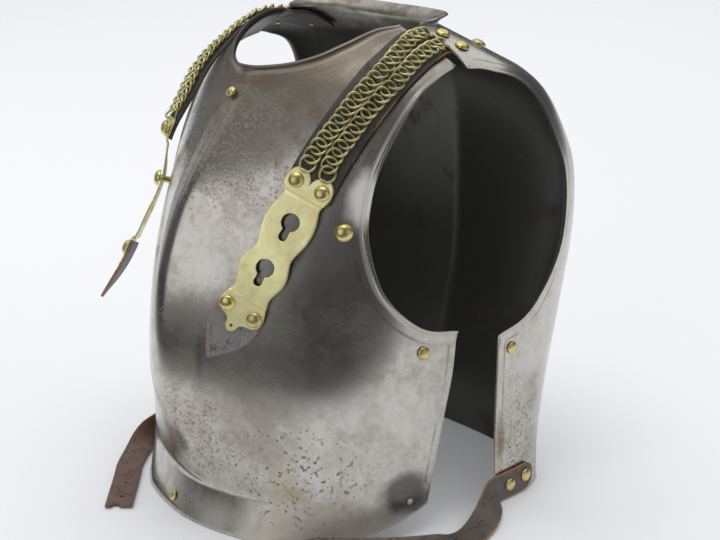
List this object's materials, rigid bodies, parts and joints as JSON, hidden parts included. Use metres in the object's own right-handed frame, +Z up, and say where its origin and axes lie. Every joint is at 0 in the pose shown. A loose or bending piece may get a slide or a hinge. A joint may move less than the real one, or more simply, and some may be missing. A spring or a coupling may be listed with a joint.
{
  "type": "cavalry cuirass",
  "caption": "Steel breastplate and backplate joined by chain-faced leather shoulder straps with brass hook plates, with an open leather waist belt.",
  "frame": {"origin": "the middle of the backplate's foot, on the plane it stands on", "axes": "+Z up, the wearer faces -Y, the wearer's left is +X; x = 0 is the plates' plane of symmetry"},
  "size_m": [0.4024, 0.4196, 0.4377],
  "materials": {
    "steel": "polished, grey-brown with age, finely pitted",
    "brass": "pale, worn smooth, a little tarnished",
    "strap_leather": "dark grey-black, worn, orange at its raw edges",
    "belt_leather": "dark brown, cracked where it bends"
  },
  "bodies": {
    "root": {"breastplate": "steel", "backplate": "steel", "rivet_corner_left": "steel", "rivet_corner_right": "steel", "strap_left": "strap_leather", "strap_right": "strap_leather", "strap_tip_left": "strap_leather", "strap_tip_right": "strap_leather", "belt_left": "belt_leather", "belt_right": "belt_leather", "hook_plate_left": "brass", "hook_plate_right": "brass", "chain_left_inner": "brass", "chain_left_outer": "brass", "chain_right_inner": "brass", "chain_right_outer": "brass", "stud_left": "brass", "stud_right": "brass", "rivet_neck": "brass", "rivet_flange": "brass", "rivet_side_breast_left": "brass", "rivet_side_breast_right": "brass", "rivet_side_back_left": "brass", "rivet_side_back_right": "brass", "belt_buckle": "brass", "rivet_buckle": "brass", "rivet_shoulder_left_1": "brass", "rivet_shoulder_left_2": "brass", "rivet_shoulder_left_3": "brass", "rivet_plate_left_1": "brass", "rivet_plate_left_2": "brass", "rivet_plate_left_3": "brass", "rivet_plate_left_4": "brass", "rivet_belt_left_1": "brass", "rivet_belt_left_2": "brass", "rivet_shoulder_right_1": "brass", "rivet_shoulder_right_2": "brass", "rivet_shoulder_right_3": "brass", "rivet_plate_right_1": "brass", "rivet_plate_right_2": "brass", "rivet_plate_right_3": "brass", "rivet_plate_right_4": "brass", "rivet_belt_right_1": "brass", "rivet_belt_right_2": "brass"}
  },
  "joints": []
}
